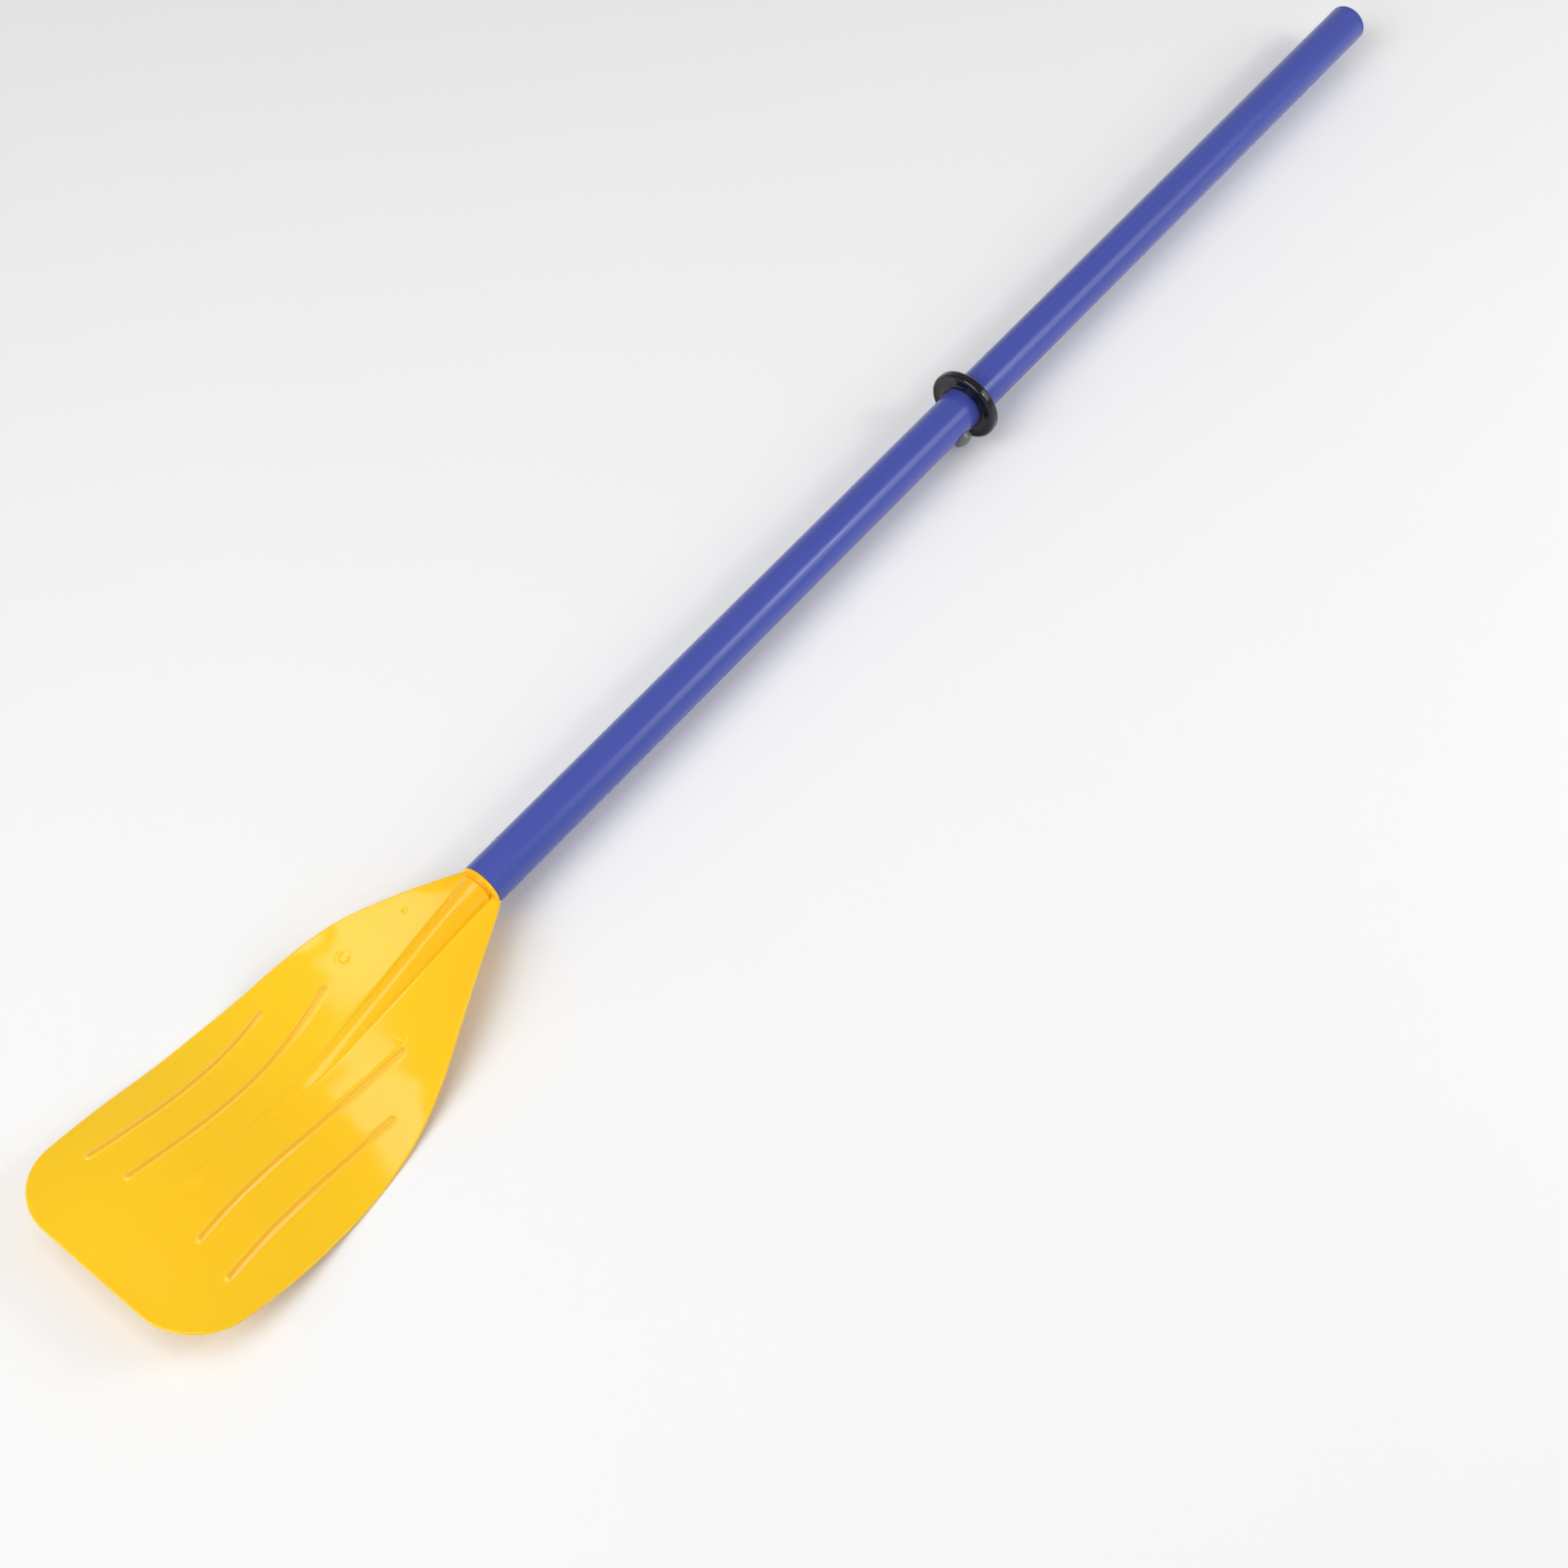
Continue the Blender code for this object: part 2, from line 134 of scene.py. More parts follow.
# ------------------------------------------------- fineness of the blade's mesh
NECK_ROWS = (0.0012, 0.0022, 0.0029, 0.0036, 0.0039, 0.0042, 0.0045, 0.0048, 0.0054, 0.0064)
ROW_FINE, ROW_PLAIN = 0.0006, 0.0017
ROW_NEAR = 0.0036            # rows are fine this close to a rib's end or a mark
SPINE_STEPS, SPINE_CROWD = 15, 1.3   # columns over half the spine, closer at its middle
FILLET_STEPS = 5
RIB_STEPS = 6                # columns over half of a rib
PLAIN_COLUMNS = (9, 13, 12)  # before the first rib, between the ribs, out to the rim

# ------------------------------------------------------- shaft and small parts
BUTTON_RADIUS = 0.0064
BUTTON_BASE = 0.0073         # radius of the flange that keeps it in the ferrule
BUTTON_FOOT = (0.0052, 0.0067)       # shaft axis to that flange's two faces
BUTTON_SHOULDER = 0.0150     # shaft axis to where the dome starts
BUTTON_TIP = 0.0191
BUTTON_TURN = math.radians(34)       # below the blade's plane, on the -Y side
OUTWARD = Vector((0.0, -math.cos(BUTTON_TURN), -math.sin(BUTTON_TURN)))
PIN_RADIUS = 0.0020
SPRING_THICK = 0.0008
SPRING_WIDTH = 0.0080
SPRING_ARMS = (0.0045, -0.0084)      # shaft axis to its arm under the button, and to the other
CAP_DEPTH = 0.020
CAP_WALL = 0.0018
CUT_REACH = 0.02             # shaft axis to a cutter's end, outside the shaft
ROUND = 96                   # segments round a tube


# --------------------------------------------------------------- mesh helpers
def smooth_step(value, low, high):
    t = min(max((value - low) / (high - low), 0.0), 1.0)
    return t * t * (3.0 - 2.0 * t)


def finish_mesh(name, vertices, faces, sharp_deg=38):
    mesh = bpy.data.meshes.new(name)
    mesh.from_pydata(vertices, [], faces)
    bm = bmesh.new()
    bm.from_mesh(mesh)
    bmesh.ops.recalc_face_normals(bm, faces=bm.faces)
    bm.to_mesh(mesh)
    bm.free()
    mesh.shade_smooth()
    mesh.set_sharp_from_angle(angle=math.radians(sharp_deg))
    item = bpy.data.objects.new(name, mesh)
    bpy.context.scene.collection.objects.link(item)
    return item


def round_corners(corners, steps=6):
    """A closed outline of (along, radius, rounding) corners, each one eased."""
    outline = []
    count = len(corners)
    for i, (along, radius, ease) in enumerate(corners):
        here = Vector((along, radius))
        if ease <= 0.0:
            outline.append((along, radius))
            continue
        before = Vector(corners[i - 1][:2])
        after = Vector(corners[(i + 1) % count][:2])
        start = here + (before - here).normalized() * ease
        end = here + (after - here).normalized() * ease
        for k in range(steps + 1):
            t = k / steps
            point = start * (1 - t) ** 2 + here * (2 * t * (1 - t)) + end * t ** 2
            outline.append((point.x, point.y))
    return outline


def lathe(name, outline, steps=ROUND, matrix=Matrix.Identity(4)):
    """Turn a closed (along, radius) outline about local X; radius 0 is a pole."""
    vertices, faces, rings = [], [], []
    for along, radius in outline:
        if radius <= 1e-7:
            rings.append([len(vertices)])
            vertices.append(matrix @ Vector((along, 0.0, 0.0)))
            continue
        rings.append(list(range(len(vertices), len(vertices) + steps)))
        for k in range(steps):
            a = 2 * math.pi * k / steps
            vertices.append(matrix @ Vector((along, radius * math.cos(a), radius * math.sin(a))))
    for i, ring in enumerate(rings):
        following = rings[(i + 1) % len(rings)]
        if len(ring) == 1 and len(following) == 1:
            continue
        for k in range(steps):
            m = (k + 1) % steps
            if len(ring) == 1:
                faces.append((ring[0], following[k], following[m]))
            elif len(following) == 1:
                faces.append((ring[k], following[0], ring[m]))
            else:
                faces.append((ring[k], following[k], following[m], ring[m]))
    return finish_mesh(name, vertices, faces)


def on_shaft(x):
    return Matrix.Translation((x, 0.0, AXIS_Z))


def across_shaft(x):
    """Local X points out of the shaft the way the button does."""
    along = Vector((1.0, 0.0, 0.0))
    side = OUTWARD.cross(along)
    turn = Matrix((OUTWARD, side, -along)).transposed().to_4x4()
    return Matrix.Translation((x, 0.0, AXIS_Z)) @ turn


def combine(item, cutter, operation):
    """Apply a Boolean and remove the cutter."""
    step = item.modifiers.new("combine", "BOOLEAN")
    step.operation = operation
    step.object = cutter
    step.solver = "EXACT"
    bpy.context.view_layer.update()
    graph = bpy.context.evaluated_depsgraph_get()
    mesh = bpy.data.meshes.new_from_object(item.evaluated_get(graph))
    item.modifiers.clear()
    item.data = mesh
    mesh.shade_smooth()
    mesh.set_sharp_from_angle(angle=math.radians(38))
    bpy.data.objects.remove(cutter, do_unlink=True)


def cross_cutter(x, radius, low, high):
    """A plain cylinder across the shaft, for the button's and the pins' holes."""
    return lathe("cutter", [(low, 0.0), (low, radius), (high, radius), (high, 0.0)],
                 steps=64, matrix=across_shaft(x))


# ------------------------------------------------------------- node materials
class Shader:
    """A Principled material and short calls for the nodes that feed it."""

    def __init__(self, name, roughness, metallic=0.0, **constants):
        self.material = bpy.data.materials.new(name)
        self.material.use_nodes = True
        self.nodes = self.material.node_tree.nodes
        self.links = self.material.node_tree.links
        self.surface = self.nodes["Principled BSDF"]
        self.surface.inputs["Roughness"].default_value = roughness
        self.surface.inputs["Metallic"].default_value = metallic
        for socket, value in constants.items():
            self.surface.inputs[socket.replace("_", " ")].default_value = value
        self.place = self.nodes.new("ShaderNodeTexCoord").outputs["Object"]

    def noise(self, scale, detail=3.0, stretch=(1.0, 1.0, 1.0), roughness=0.5):
        mapping = self.nodes.new("ShaderNodeMapping")
        mapping.inputs["Scale"].default_value = stretch
        self.links.new(self.place, mapping.inputs["Vector"])
        texture = self.nodes.new("ShaderNodeTexNoise")
        texture.inputs["Scale"].default_value = scale
        texture.inputs["Detail"].default_value = detail
        texture.inputs["Roughness"].default_value = roughness
        self.links.new(mapping.outputs["Vector"], texture.inputs["Vector"])
        return texture.outputs["Fac"]

    def attribute(self, name):
        node = self.nodes.new("ShaderNodeAttribute")
        node.attribute_name = name
        return node.outputs["Fac"]

    def remap(self, value, low, high, to_low, to_high):
        node = self.nodes.new("ShaderNodeMapRange")
        for socket, number in (("From Min", low), ("From Max", high),
                               ("To Min", to_low), ("To Max", to_high)):
            node.inputs[socket].default_value = number
        self.links.new(value, node.inputs["Value"])
        return node.outputs["Result"]

    def mix(self, factor, first, second):
        """Blend two colours; each is a colour or another node's output."""
        node = self.nodes.new("ShaderNodeMix")
        node.data_type = "RGBA"
        self.links.new(factor, node.inputs["Factor"])
        for socket, colour in (("A", first), ("B", second)):
            target = [s for s in node.inputs if s.name == socket and s.type == "RGBA"][0]
            if isinstance(colour, tuple):
                target.default_value = (*colour, 1.0)
            else:
                self.links.new(colour, target)
        return [s for s in node.outputs if s.type == "RGBA"][0]

    def bump(self, height, strength, distance, under=None):
        node = self.nodes.new("ShaderNodeBump")
        node.inputs["Strength"].default_value = strength
        node.inputs["Distance"].default_value = distance
        self.links.new(height, node.inputs["Height"])
        if under is not None:
            self.links.new(under, node.inputs["Normal"])
        return node.outputs["Normal"]

    def feed(self, socket, output):
        self.links.new(output, self.surface.inputs[socket])


def blade_material():
    """Glossy yellow polypropylene: deeper where it is thick, faint flow marks, and a painted
    highlight on the ribs' flanks.
    """
    shader = Shader("blade_plastic", 0.16, Subsurface_Weight=0.12,
                    Subsurface_Scale=0.004, IOR=1.49)
    flow = shader.noise(9.0, 2.0, stretch=(0.35, 1.0, 1.0))
    plain = shader.mix(shader.remap(flow, 0.3, 0.7, 0.0, 1.0),
                       (1.0, 0.570, 0.005), (1.0, 0.610, 0.009))
    body = shader.mix(shader.attribute("thick"), plain, (0.94, 0.45, 0.002))
    # Painted highlight: the ribs' flanks are mixed towards pale yellow, standing in for the
    # light they catch.
    colour = shader.mix(shader.attribute("painted_flank_highlight"), body, (1.0, 0.66, 0.09))
    shader.feed("Base Color", colour)
    shader.feed("Roughness", shader.remap(shader.noise(60.0, 4.0), 0.3, 0.7, 0.10, 0.16))
    peel = shader.bump(shader.noise(170.0, 2.0), 0.05, 0.0006)
    scuffs = shader.bump(shader.noise(900.0, 3.0, stretch=(0.15, 1.0, 1.0)), 0.02, 0.0003, peel)
    shader.feed("Normal", scuffs)
    return shader.material


def tube_material(name, colour, roughness):
    """Extruded tube: satin, with faint lines drawn along it."""
    shader = Shader(name, roughness, IOR=1.47)
    lines = shader.noise(260.0, 3.0, stretch=(0.01, 1.0, 1.0), roughness=0.6)
    darker = tuple(0.93 * c for c in colour)
    lighter = tuple(min(1.07 * c, 1.0) for c in colour)
    tone = shader.mix(shader.remap(lines, 0.3, 0.7, 0.0, 1.0), darker, lighter)
    shader.feed("Base Color", tone)
    shader.feed("Roughness", shader.remap(shader.noise(45.0, 4.0, stretch=(0.2, 1.0, 1.0)),
                                          0.3, 0.7, roughness - 0.04, roughness + 0.05))
    drawn = shader.bump(lines, 0.05, 0.0003)
    shader.feed("Normal", shader.bump(shader.noise(1400.0, 2.0), 0.04, 0.0002, drawn))
    return shader.material


def moulded_material(name, colour, roughness, grain):
    """Small moulded parts: even colour, fine grain, slightly uneven gloss."""
    shader = Shader(name, roughness, IOR=1.5)
    cloud = shader.noise(180.0, 3.0)
    darker = tuple(0.85 * c for c in colour)
    lighter = tuple(1.15 * c for c in colour)
    shader.feed("Base Color", shader.mix(cloud, darker, lighter))
    shader.feed("Roughness", shader.remap(cloud, 0.3, 0.7, roughness - 0.03, roughness + 0.06))
    shader.feed("Normal", shader.bump(shader.noise(1600.0, 3.0), grain, 0.0002))
    return shader.material


def steel_material():
    """Plain spring steel, brushed along its length."""
    shader = Shader("spring_steel", 0.3, metallic=1.0)
    lines = shader.noise(900.0, 3.0, stretch=(0.04, 1.0, 1.0))
    shader.feed("Base Color", shader.mix(lines, (0.42, 0.42, 0.43), (0.66, 0.66, 0.67)))
    shader.feed("Roughness", shader.remap(lines, 0.3, 0.7, 0.24, 0.38))
    shader.feed("Normal", shader.bump(lines, 0.08, 0.0002))
    return shader.material


# ------------------------------------------------------------- blade surface
def section(u):
    """Half width, middle height and rim height at the distance u, smoothly."""
    last = len(SECTIONS) - 1
    i = max(k for k in range(last) if SECTIONS[k][0] <= u or k == 0)
    before, after = SECTIONS[max(i - 1, 0)], SECTIONS[min(i + 2, last)]
    low, high = SECTIONS[i], SECTIONS[i + 1]
    span = high[0] - low[0]
    t = (u - low[0]) / span
    values = []
    for k in (1, 2, 3):
        slope_low = (high[k] - before[k]) / (high[0] - before[0]) * span
        slope_high = (after[k] - low[k]) / (after[0] - low[0]) * span
        values.append((2 * t ** 3 - 3 * t ** 2 + 1) * low[k]
                      + (t ** 3 - 2 * t ** 2 + t) * slope_low
                      + (3 * t ** 2 - 2 * t ** 3) * high[k]
                      + (t ** 3 - t ** 2) * slope_high)
    return values


def rim_half(u):
    """Half width of the sheet inside its half-round rim, tip corners included."""
    inset = BLADE_EDGE / 2
    radius = BLADE_CORNER - inset
    into = max(u - (BLADE_LENGTH - BLADE_CORNER), 0.0)
    drop = radius - math.sqrt(max(radius ** 2 - into ** 2, 0.0))
    return section(u)[0] - inset - drop


def spine_size(u):
    """Half width and height of the spine, then of the low ridge beyond it."""
    left = max(1.0 - u / SPINE_END, 0.0)
    half = RIDGE[0] + (SPINE_NECK[0] - RIDGE[0]) * left
    height = math.hypot(SPINE_NECK[1] * left, RIDGE[1])
    height *= 1.0 - smooth_step(u, *RIDGE_FADE)
    step = 1.0 - GROOVE_DEPTH * (1.0 - smooth_step(u, *GROOVE))
    return half * step, height * step


def spine_share(u, t):
    """Height over the spine's at t of its half width: round, with a soft crest."""
    crest = SPINE_CREST * smooth_step(u, *CREST_RISE) * (1.0 - smooth_step(u, *CREST_FALL))
    arch = math.sqrt(max(1.0 - t * t, 0.0))
    return (1.0 - crest) * arch + crest * (1.0 - min(t, 1.0) ** 1.5)


def spine_columns(u):
    """(side, rise) over the spine and down its filleted foot."""
    half, height = spine_size(u)
    end = math.sqrt(1.0 - min(FOOT_FILLET / half, 0.4))
    shares = [end * math.sin(math.pi / 2 * (k / SPINE_STEPS) ** SPINE_CROWD)
              for k in range(SPINE_STEPS + 1)]
    points = [(half * t, height * spine_share(u, t)) for t in shares]
    start = Vector(points[-1])
    step = 0.001
    fall = height * (spine_share(u, end - step) - spine_share(u, end)) / (half * step)
    run = max(half / end - half * end, start.y / max(fall, 0.3))
    corner = Vector((start.x + run, 0.0))
    finish = Vector((corner.x + run, 0.0))
    for k in range(1, FILLET_STEPS + 1):
        t = k / FILLET_STEPS
        point = start * (1 - t) ** 2 + corner * (2 * t * (1 - t)) + finish * t ** 2
        points.append((point.x, point.y))
    return points


def rib_centre(u, waist, reach, foot, half):
    """Side distance of a rib's middle line at the distance u."""
    return min(waist + RIB_FLARE * (u - RIB_WAIST) ** 2, foot + reach * (half - foot))


def rib_share(away):
    """Height over the rib's: a flat top, straight flanks and eased corners."""
    t = (away - RIB_TOP) / (RIB_FOOT - RIB_TOP)
    straight = min(max(1.0 - t, 0.0), 1.0)
    eased = 1.0 - smooth_step(away, RIB_TOP - RIB_EASE, RIB_FOOT + RIB_EASE)
    return RIB_STRAIGHT * straight + (1.0 - RIB_STRAIGHT) * eased


def rib_rise(u, v, foot, half):
    """Height of the two raised ribs on one side, round at both ends."""
    rise = 0.0
    for (waist, start, stop), reach in zip(RIBS, RIB_REACH):
        centre = rib_centre(u, waist, reach, foot, half)
        beyond = max(start + RIB_TOP - u, u - stop + RIB_TOP, 0.0)
        away = math.hypot(v - centre, beyond)
        rise = max(rise, RIB_HEIGHT * rib_share(away))
    return rise


def mark_dent(u, y):
    """An ejector pin leaves a shallow dished disc with a faint raised edge."""
    dent = 0.0
    for mark_u, mark_y, radius in MARKS:
        away = math.hypot(u - mark_u, y - mark_y)
        if away < 2 * radius:
            inside = 1.0 - smooth_step(away, 0.55 * radius, radius)
            edge = math.exp(-((away - 1.15 * radius) / (0.25 * radius)) ** 2)
            dent += MARK_DEPTH * (0.5 * edge - inside)
    return dent


def spread(low, high, count):
    """count points strictly between low and high."""
    return [low + (high - low) * (k + 1) / (count + 1) for k in range(count)]


def blade_half_row(u):
    """(side, spine rise, rib rise) from the middle out to the rim."""
    half = rim_half(u)
    columns = spine_columns(u)
    foot = columns[-1][0]
    room = half - foot
    width = min(RIB_HALF, 0.10 * room)
    sides = []
    inner = foot
    for (waist, _, _), reach, gaps in zip(RIBS, RIB_REACH, PLAIN_COLUMNS):
        centre = rib_centre(u, waist, reach, foot, half)
        sides += spread(inner, centre - width, gaps)
        sides += [centre + width * k / RIB_STEPS for k in range(-RIB_STEPS, RIB_STEPS + 1)]
        inner = centre + width
    sides += spread(inner, half, PLAIN_COLUMNS[-1]) + [half]
    row = [(v, rise, 0.0) for v, rise in columns]
    row += [(v, 0.0, rib_rise(u, v, foot, half)) for v in sides]
    return row


def sheet_height(u, v):
    full, middle, rim = section(u)
    share = min(v / full, 1.0)
    return middle + (rim - middle) * share ** 2


def sheet_wave(u, y):
    share = smooth_step(u, *WAVE_START) * (1.0 - smooth_step(abs(y), *WAVE_SIDES))
    return WAVE_HEIGHT * share * noise.noise(Vector((u, y, 0.3)) * WAVE_SCALE) * 2.0


def blade_rows():
    """Distances from the neck, closest where ribs end and the neck steps."""
    rows = list(NECK_ROWS)
    corner_start = BLADE_LENGTH - BLADE_CORNER
    u = rows[-1]
    fine = [end for _, start, stop in RIBS for end in (start, stop)]
    fine += [mark[0] for mark in MARKS]
    while u < corner_start - 0.0010:
        nearest = min(abs(u - place) for place in fine)
        u += ROW_FINE if nearest < ROW_NEAR else ROW_PLAIN
        rows.append(u)
    inset = BLADE_EDGE / 2
    rows += [corner_start + (BLADE_CORNER - inset) * math.sin(math.radians(a))
             for a in range(3, 91, 3)]
    return rows


def make_blade_sheet():
    """Front and back faces with a half-round rim, as one closed mesh."""
    vertices, faces = [], []
    thin_from, thin_to = (BLADE_LENGTH - before for before in TIP_THINS)
    sheets = ([], [])
    for u in blade_rows():
        half_row = blade_half_row(u)
        full = section(u)[0]
        across = [(-v, s, r) for v, s, r in half_row[:0:-1]] + half_row
        for sheet, sign in zip(sheets, (1, -1)):
            line = []
            for y, spine, rib in across:
                share = min(abs(y) / full, 1.0)
                thin = max(share ** 4, smooth_step(u, thin_from, thin_to))
                thick = BLADE_EDGE + (BLADE_THICK - BLADE_EDGE) * (1.0 - thin)
                z = sheet_height(u, abs(y)) + sheet_wave(u, y)
                z += sign * (thick / 2 + spine + rib)
                if sign > 0:
                    z += mark_dent(u, y)
                line.append(len(vertices))
                vertices.append((NECK_X - u, y, AXIS_Z + z))
            sheet.append(line)
    front, back = sheets
    for sheet in sheets:
        for near, far in zip(sheet, sheet[1:]):
            for k in range(len(near) - 1):
                faces.append((near[k], near[k + 1], far[k + 1], far[k]))
    for k in range(len(front[0]) - 1):
        faces.append((front[0][k], back[0][k], back[0][k + 1], front[0][k + 1]))
    last = len(front) - 1
    # The rim runs from the neck round the tip and back: (front, back) indices.
    outline = [(front[i][-1], back[i][-1]) for i in range(last)]
    outline += [(front[last][k], back[last][k]) for k in range(len(front[last]) - 1, 0, -1)]
    outline += [(front[i][0], back[i][0]) for i in range(last, -1, -1)]
    add_round_rim(vertices, faces, outline)
    return finish_mesh("blade_moulding", vertices, faces, sharp_deg=50)


def add_round_rim(vertices, faces, outline, steps=8):
    """Close the open edge between the two sheets with a half-round rim."""
    columns = []
    for i, (top, bottom) in enumerate(outline):
        before = Vector(vertices[outline[max(i - 1, 0)][0]])
        after = Vector(vertices[outline[min(i + 1, len(outline) - 1)][0]])
        along = (after - before).normalized()
        high, low = Vector(vertices[top]), Vector(vertices[bottom])
        up = (high - low) / 2
        out = up.cross(along).normalized() * up.length
        middle = (high + low) / 2
        if out.y * (1 if i < len(outline) / 2 else -1) < 0 and abs(out.y) > abs(out.x):
            out = -out
        elif out.x > 0 and abs(out.x) > abs(out.y):
            out = -out
        column = [top]
        for k in range(1, steps):
            a = math.pi * k / steps
            column.append(len(vertices))
            vertices.append(tuple(middle + up * math.cos(a) + out * math.sin(a)))
        columns.append(column + [bottom])
    for near, far in zip(columns, columns[1:]):
        for k in range(steps):
            faces.append((near[k], near[k + 1], far[k + 1], far[k]))
    start, end = columns[0], columns[-1]
    faces.append(tuple(start))
    faces.append(tuple(end))


def mark_thickness_and_painted_highlight(mesh):
    """Store where the plastic is thick, and where a painted highlight lightens the ribs' flanks.
    """
    thick = mesh.attributes.new("thick", "FLOAT", "POINT")
    painted_flank_highlight = mesh.attributes.new("painted_flank_highlight", "FLOAT", "POINT")
    for i, vertex in enumerate(mesh.vertices):
        u = NECK_X - vertex.co.x
        if u <= 0.0005 or u > BLADE_LENGTH - BLADE_EDGE:
            thick.data[i].value = 0.25 if u <= 0.0005 else 0.0
            continue
        v = abs(vertex.co.y)
        half = rim_half(u)
        width, height = spine_size(u)
        columns = spine_columns(u)
        spine = height * spine_share(u, min(v / width, 1.0))
        rib = rib_rise(u, v, columns[-1][0], half) / RIB_HEIGHT
        deep = 60.0 * spine + 0.85 * smooth_step(rib, 0.5, 0.95)
        # Painted highlight mask: the ribs' flanks, where they would catch light, get the pale
        # colour.
        flank = smooth_step(rib, 0.05, 0.35) * (1.0 - smooth_step(rib, 0.5, 0.85))
        thick.data[i].value = min(deep, 1.0)
        painted_flank_highlight.data[i].value = 0.8 * flank


def make_blade():
    blade = make_blade_sheet()
    core = BORE_R - GAP
    hollow = core - SPIGOT_WALL
    neck = lathe("neck", round_corners([
        (-FLANGE_THICK, 0.0, 0.0), (-FLANGE_THICK, TUBE_R, 0.0005), (0.0, TUBE_R, 0.0004),
        (0.0, core, 0.0), (SPIGOT_LENGTH, core, 0.0012), (SPIGOT_LENGTH, hollow, 0.0006),
        (0.005, hollow, 0.0), (0.004, 0.0, 0.0),
    ]), matrix=on_shaft(NECK_X))
    combine(blade, neck, "UNION")
    pin_hole = cross_cutter(BLADE_PIN_X, PIN_RADIUS + GAP, -CUT_REACH, CUT_REACH)
    combine(blade, pin_hole, "DIFFERENCE")
    mark_thickness_and_painted_highlight(blade.data)
    return blade


# ----------------------------------------------------------------- the shaft
def make_tube(name, low, high, holes):
    """An extruded tube with eased ends; holes are (x, radius, from, to)."""
    tube = lathe(name, round_corners([
        (low, BORE_R, 0.0002), (low, TUBE_R, 0.0005), (high, TUBE_R, 0.0005),
        (high, BORE_R, 0.0002),
    ]), matrix=on_shaft(0.0))
    for x, radius, start, end in holes:
        combine(tube, cross_cutter(x, radius, start, end), "DIFFERENCE")
    return tube


def make_ferrule():
    low, high = FERRULE_LOW[0], FERRULE_HIGH[0]
    lead = 0.0016
    ferrule = lathe("ferrule_sleeve", round_corners([
        (low, FERRULE_BORE, 0.0), (low, FERRULE_R - lead / 2, 0.0002),
        (low + lead, FERRULE_R, 0.0004), (high, FERRULE_R, 0.0003), (high, FERRULE_BORE, 0.0),
    ]), matrix=on_shaft(0.0))
    button_hole = cross_cutter(BUTTON_X, BUTTON_RADIUS + GAP, 0.0, CUT_REACH)
    pin_hole = cross_cutter(FERRULE_PIN_X, PIN_RADIUS + GAP, -CUT_REACH, CUT_REACH)
    combine(ferrule, button_hole, "DIFFERENCE")
    combine(ferrule, pin_hole, "DIFFERENCE")
    return ferrule


def make_ring():
    """The stop ring: a washer with a full round rim and slightly dished faces."""
    low, high = RING_LOW[0], RING_HIGH[0]
    bore = TUBE_R + GAP
    dish = 0.0004
    return lathe("ring_collar", round_corners([
        (low, bore, 0.0005), (low, bore + 0.0022, 0.0004), (low + dish, bore + 0.0034, 0.0005),
        (low + dish, RING_R - 0.0034, 0.0006), (low, RING_R - 0.0022, 0.0004),
        (low, RING_R, 0.0021), (high, RING_R, 0.0021), (high, RING_R - 0.0022, 0.0004),
        (high - dish, RING_R - 0.0034, 0.0006), (high - dish, bore + 0.0034, 0.0005),
        (high, bore + 0.0022, 0.0004), (high, bore, 0.0005),
    ]), steps=128, matrix=on_shaft(0.0))


def make_button():
    """A domed plunger. Its base flange stays inside the ferrule."""
    base_low, base_high = BUTTON_FOOT
    rise = BUTTON_TIP - BUTTON_SHOULDER
    dome = [(BUTTON_SHOULDER + rise * math.sin(a), BUTTON_RADIUS * math.cos(a))
            for a in (math.radians(k) for k in range(0, 90, 6))]
    outline = [(base_low, 0.0), (base_low, BUTTON_BASE), (base_high, BUTTON_BASE),
               (base_high, BUTTON_RADIUS)]
    outline += dome + [(BUTTON_TIP, 0.0)]
    return lathe("button_plunger", outline, steps=72, matrix=across_shaft(BUTTON_X))


def make_spring():
    """A hairpin leaf: one arm under the button, the other on the far wall."""
    arm_top, arm_low = SPRING_ARMS
    bend_x, bend_r = -0.030, 0.0030
    centre_y = arm_low + bend_r
    path = [(0.0055, arm_top), (-0.0055, arm_top)]
    path += [(bend_x + bend_r * math.cos(a), centre_y + bend_r * math.sin(a))
             for a in (math.radians(k) for k in range(70, 291, 10))]
    path += [(0.008, arm_low)]
    turn = across_shaft(BUTTON_X)
    vertices, faces = [], []
    for i, (along, out) in enumerate(path):
        ahead = Vector(path[min(i + 1, len(path) - 1)])
        behind = Vector(path[max(i - 1, 0)])
        normal = (ahead - behind).normalized().orthogonal() * SPRING_THICK / 2
        for side, thick in ((-1, -1), (1, -1), (1, 1), (-1, 1)):
            spot = Vector((along, out)) + normal * thick
            vertices.append(turn @ Vector((spot.y, side * SPRING_WIDTH / 2, -spot.x)))
    for i in range(len(path) - 1):
        a, b = 4 * i, 4 * i + 4
        for k in range(4):
            m = (k + 1) % 4
            faces.append((a + k, a + m, b + m, b + k))
    faces.append((0, 1, 2, 3))
    faces.append(tuple(range(len(vertices) - 4, len(vertices))))
    return finish_mesh("spring_leaf", vertices, faces)


def make_end_cap():
    start, end = UPPER_HIGH[0] + GAP, CAP_HIGH[0]
    plug = BORE_R - GAP
    hollow = plug - CAP_WALL
    return lathe("cap_plug", round_corners([
        (end, 0.0, 0.0), (end, TUBE_R, 0.0015), (start, TUBE_R, 0.0003), (start, plug, 0.0),
        (start - CAP_DEPTH, plug, 0.0010), (start - CAP_DEPTH, hollow, 0.0003),
        (start, hollow, 0.0), (start, 0.0, 0.0),
    ]), matrix=on_shaft(0.0))


def make_pin(name, x):
    """A drive pin through the shaft, its ends just under the tube's surface."""
    half = TUBE_R - 0.0003
    return lathe(name, round_corners([
        (-half, 0.0, 0.0), (-half, PIN_RADIUS, 0.0005), (half, PIN_RADIUS, 0.0005),
        (half, 0.0, 0.0),
    ]), steps=40, matrix=across_shaft(x))


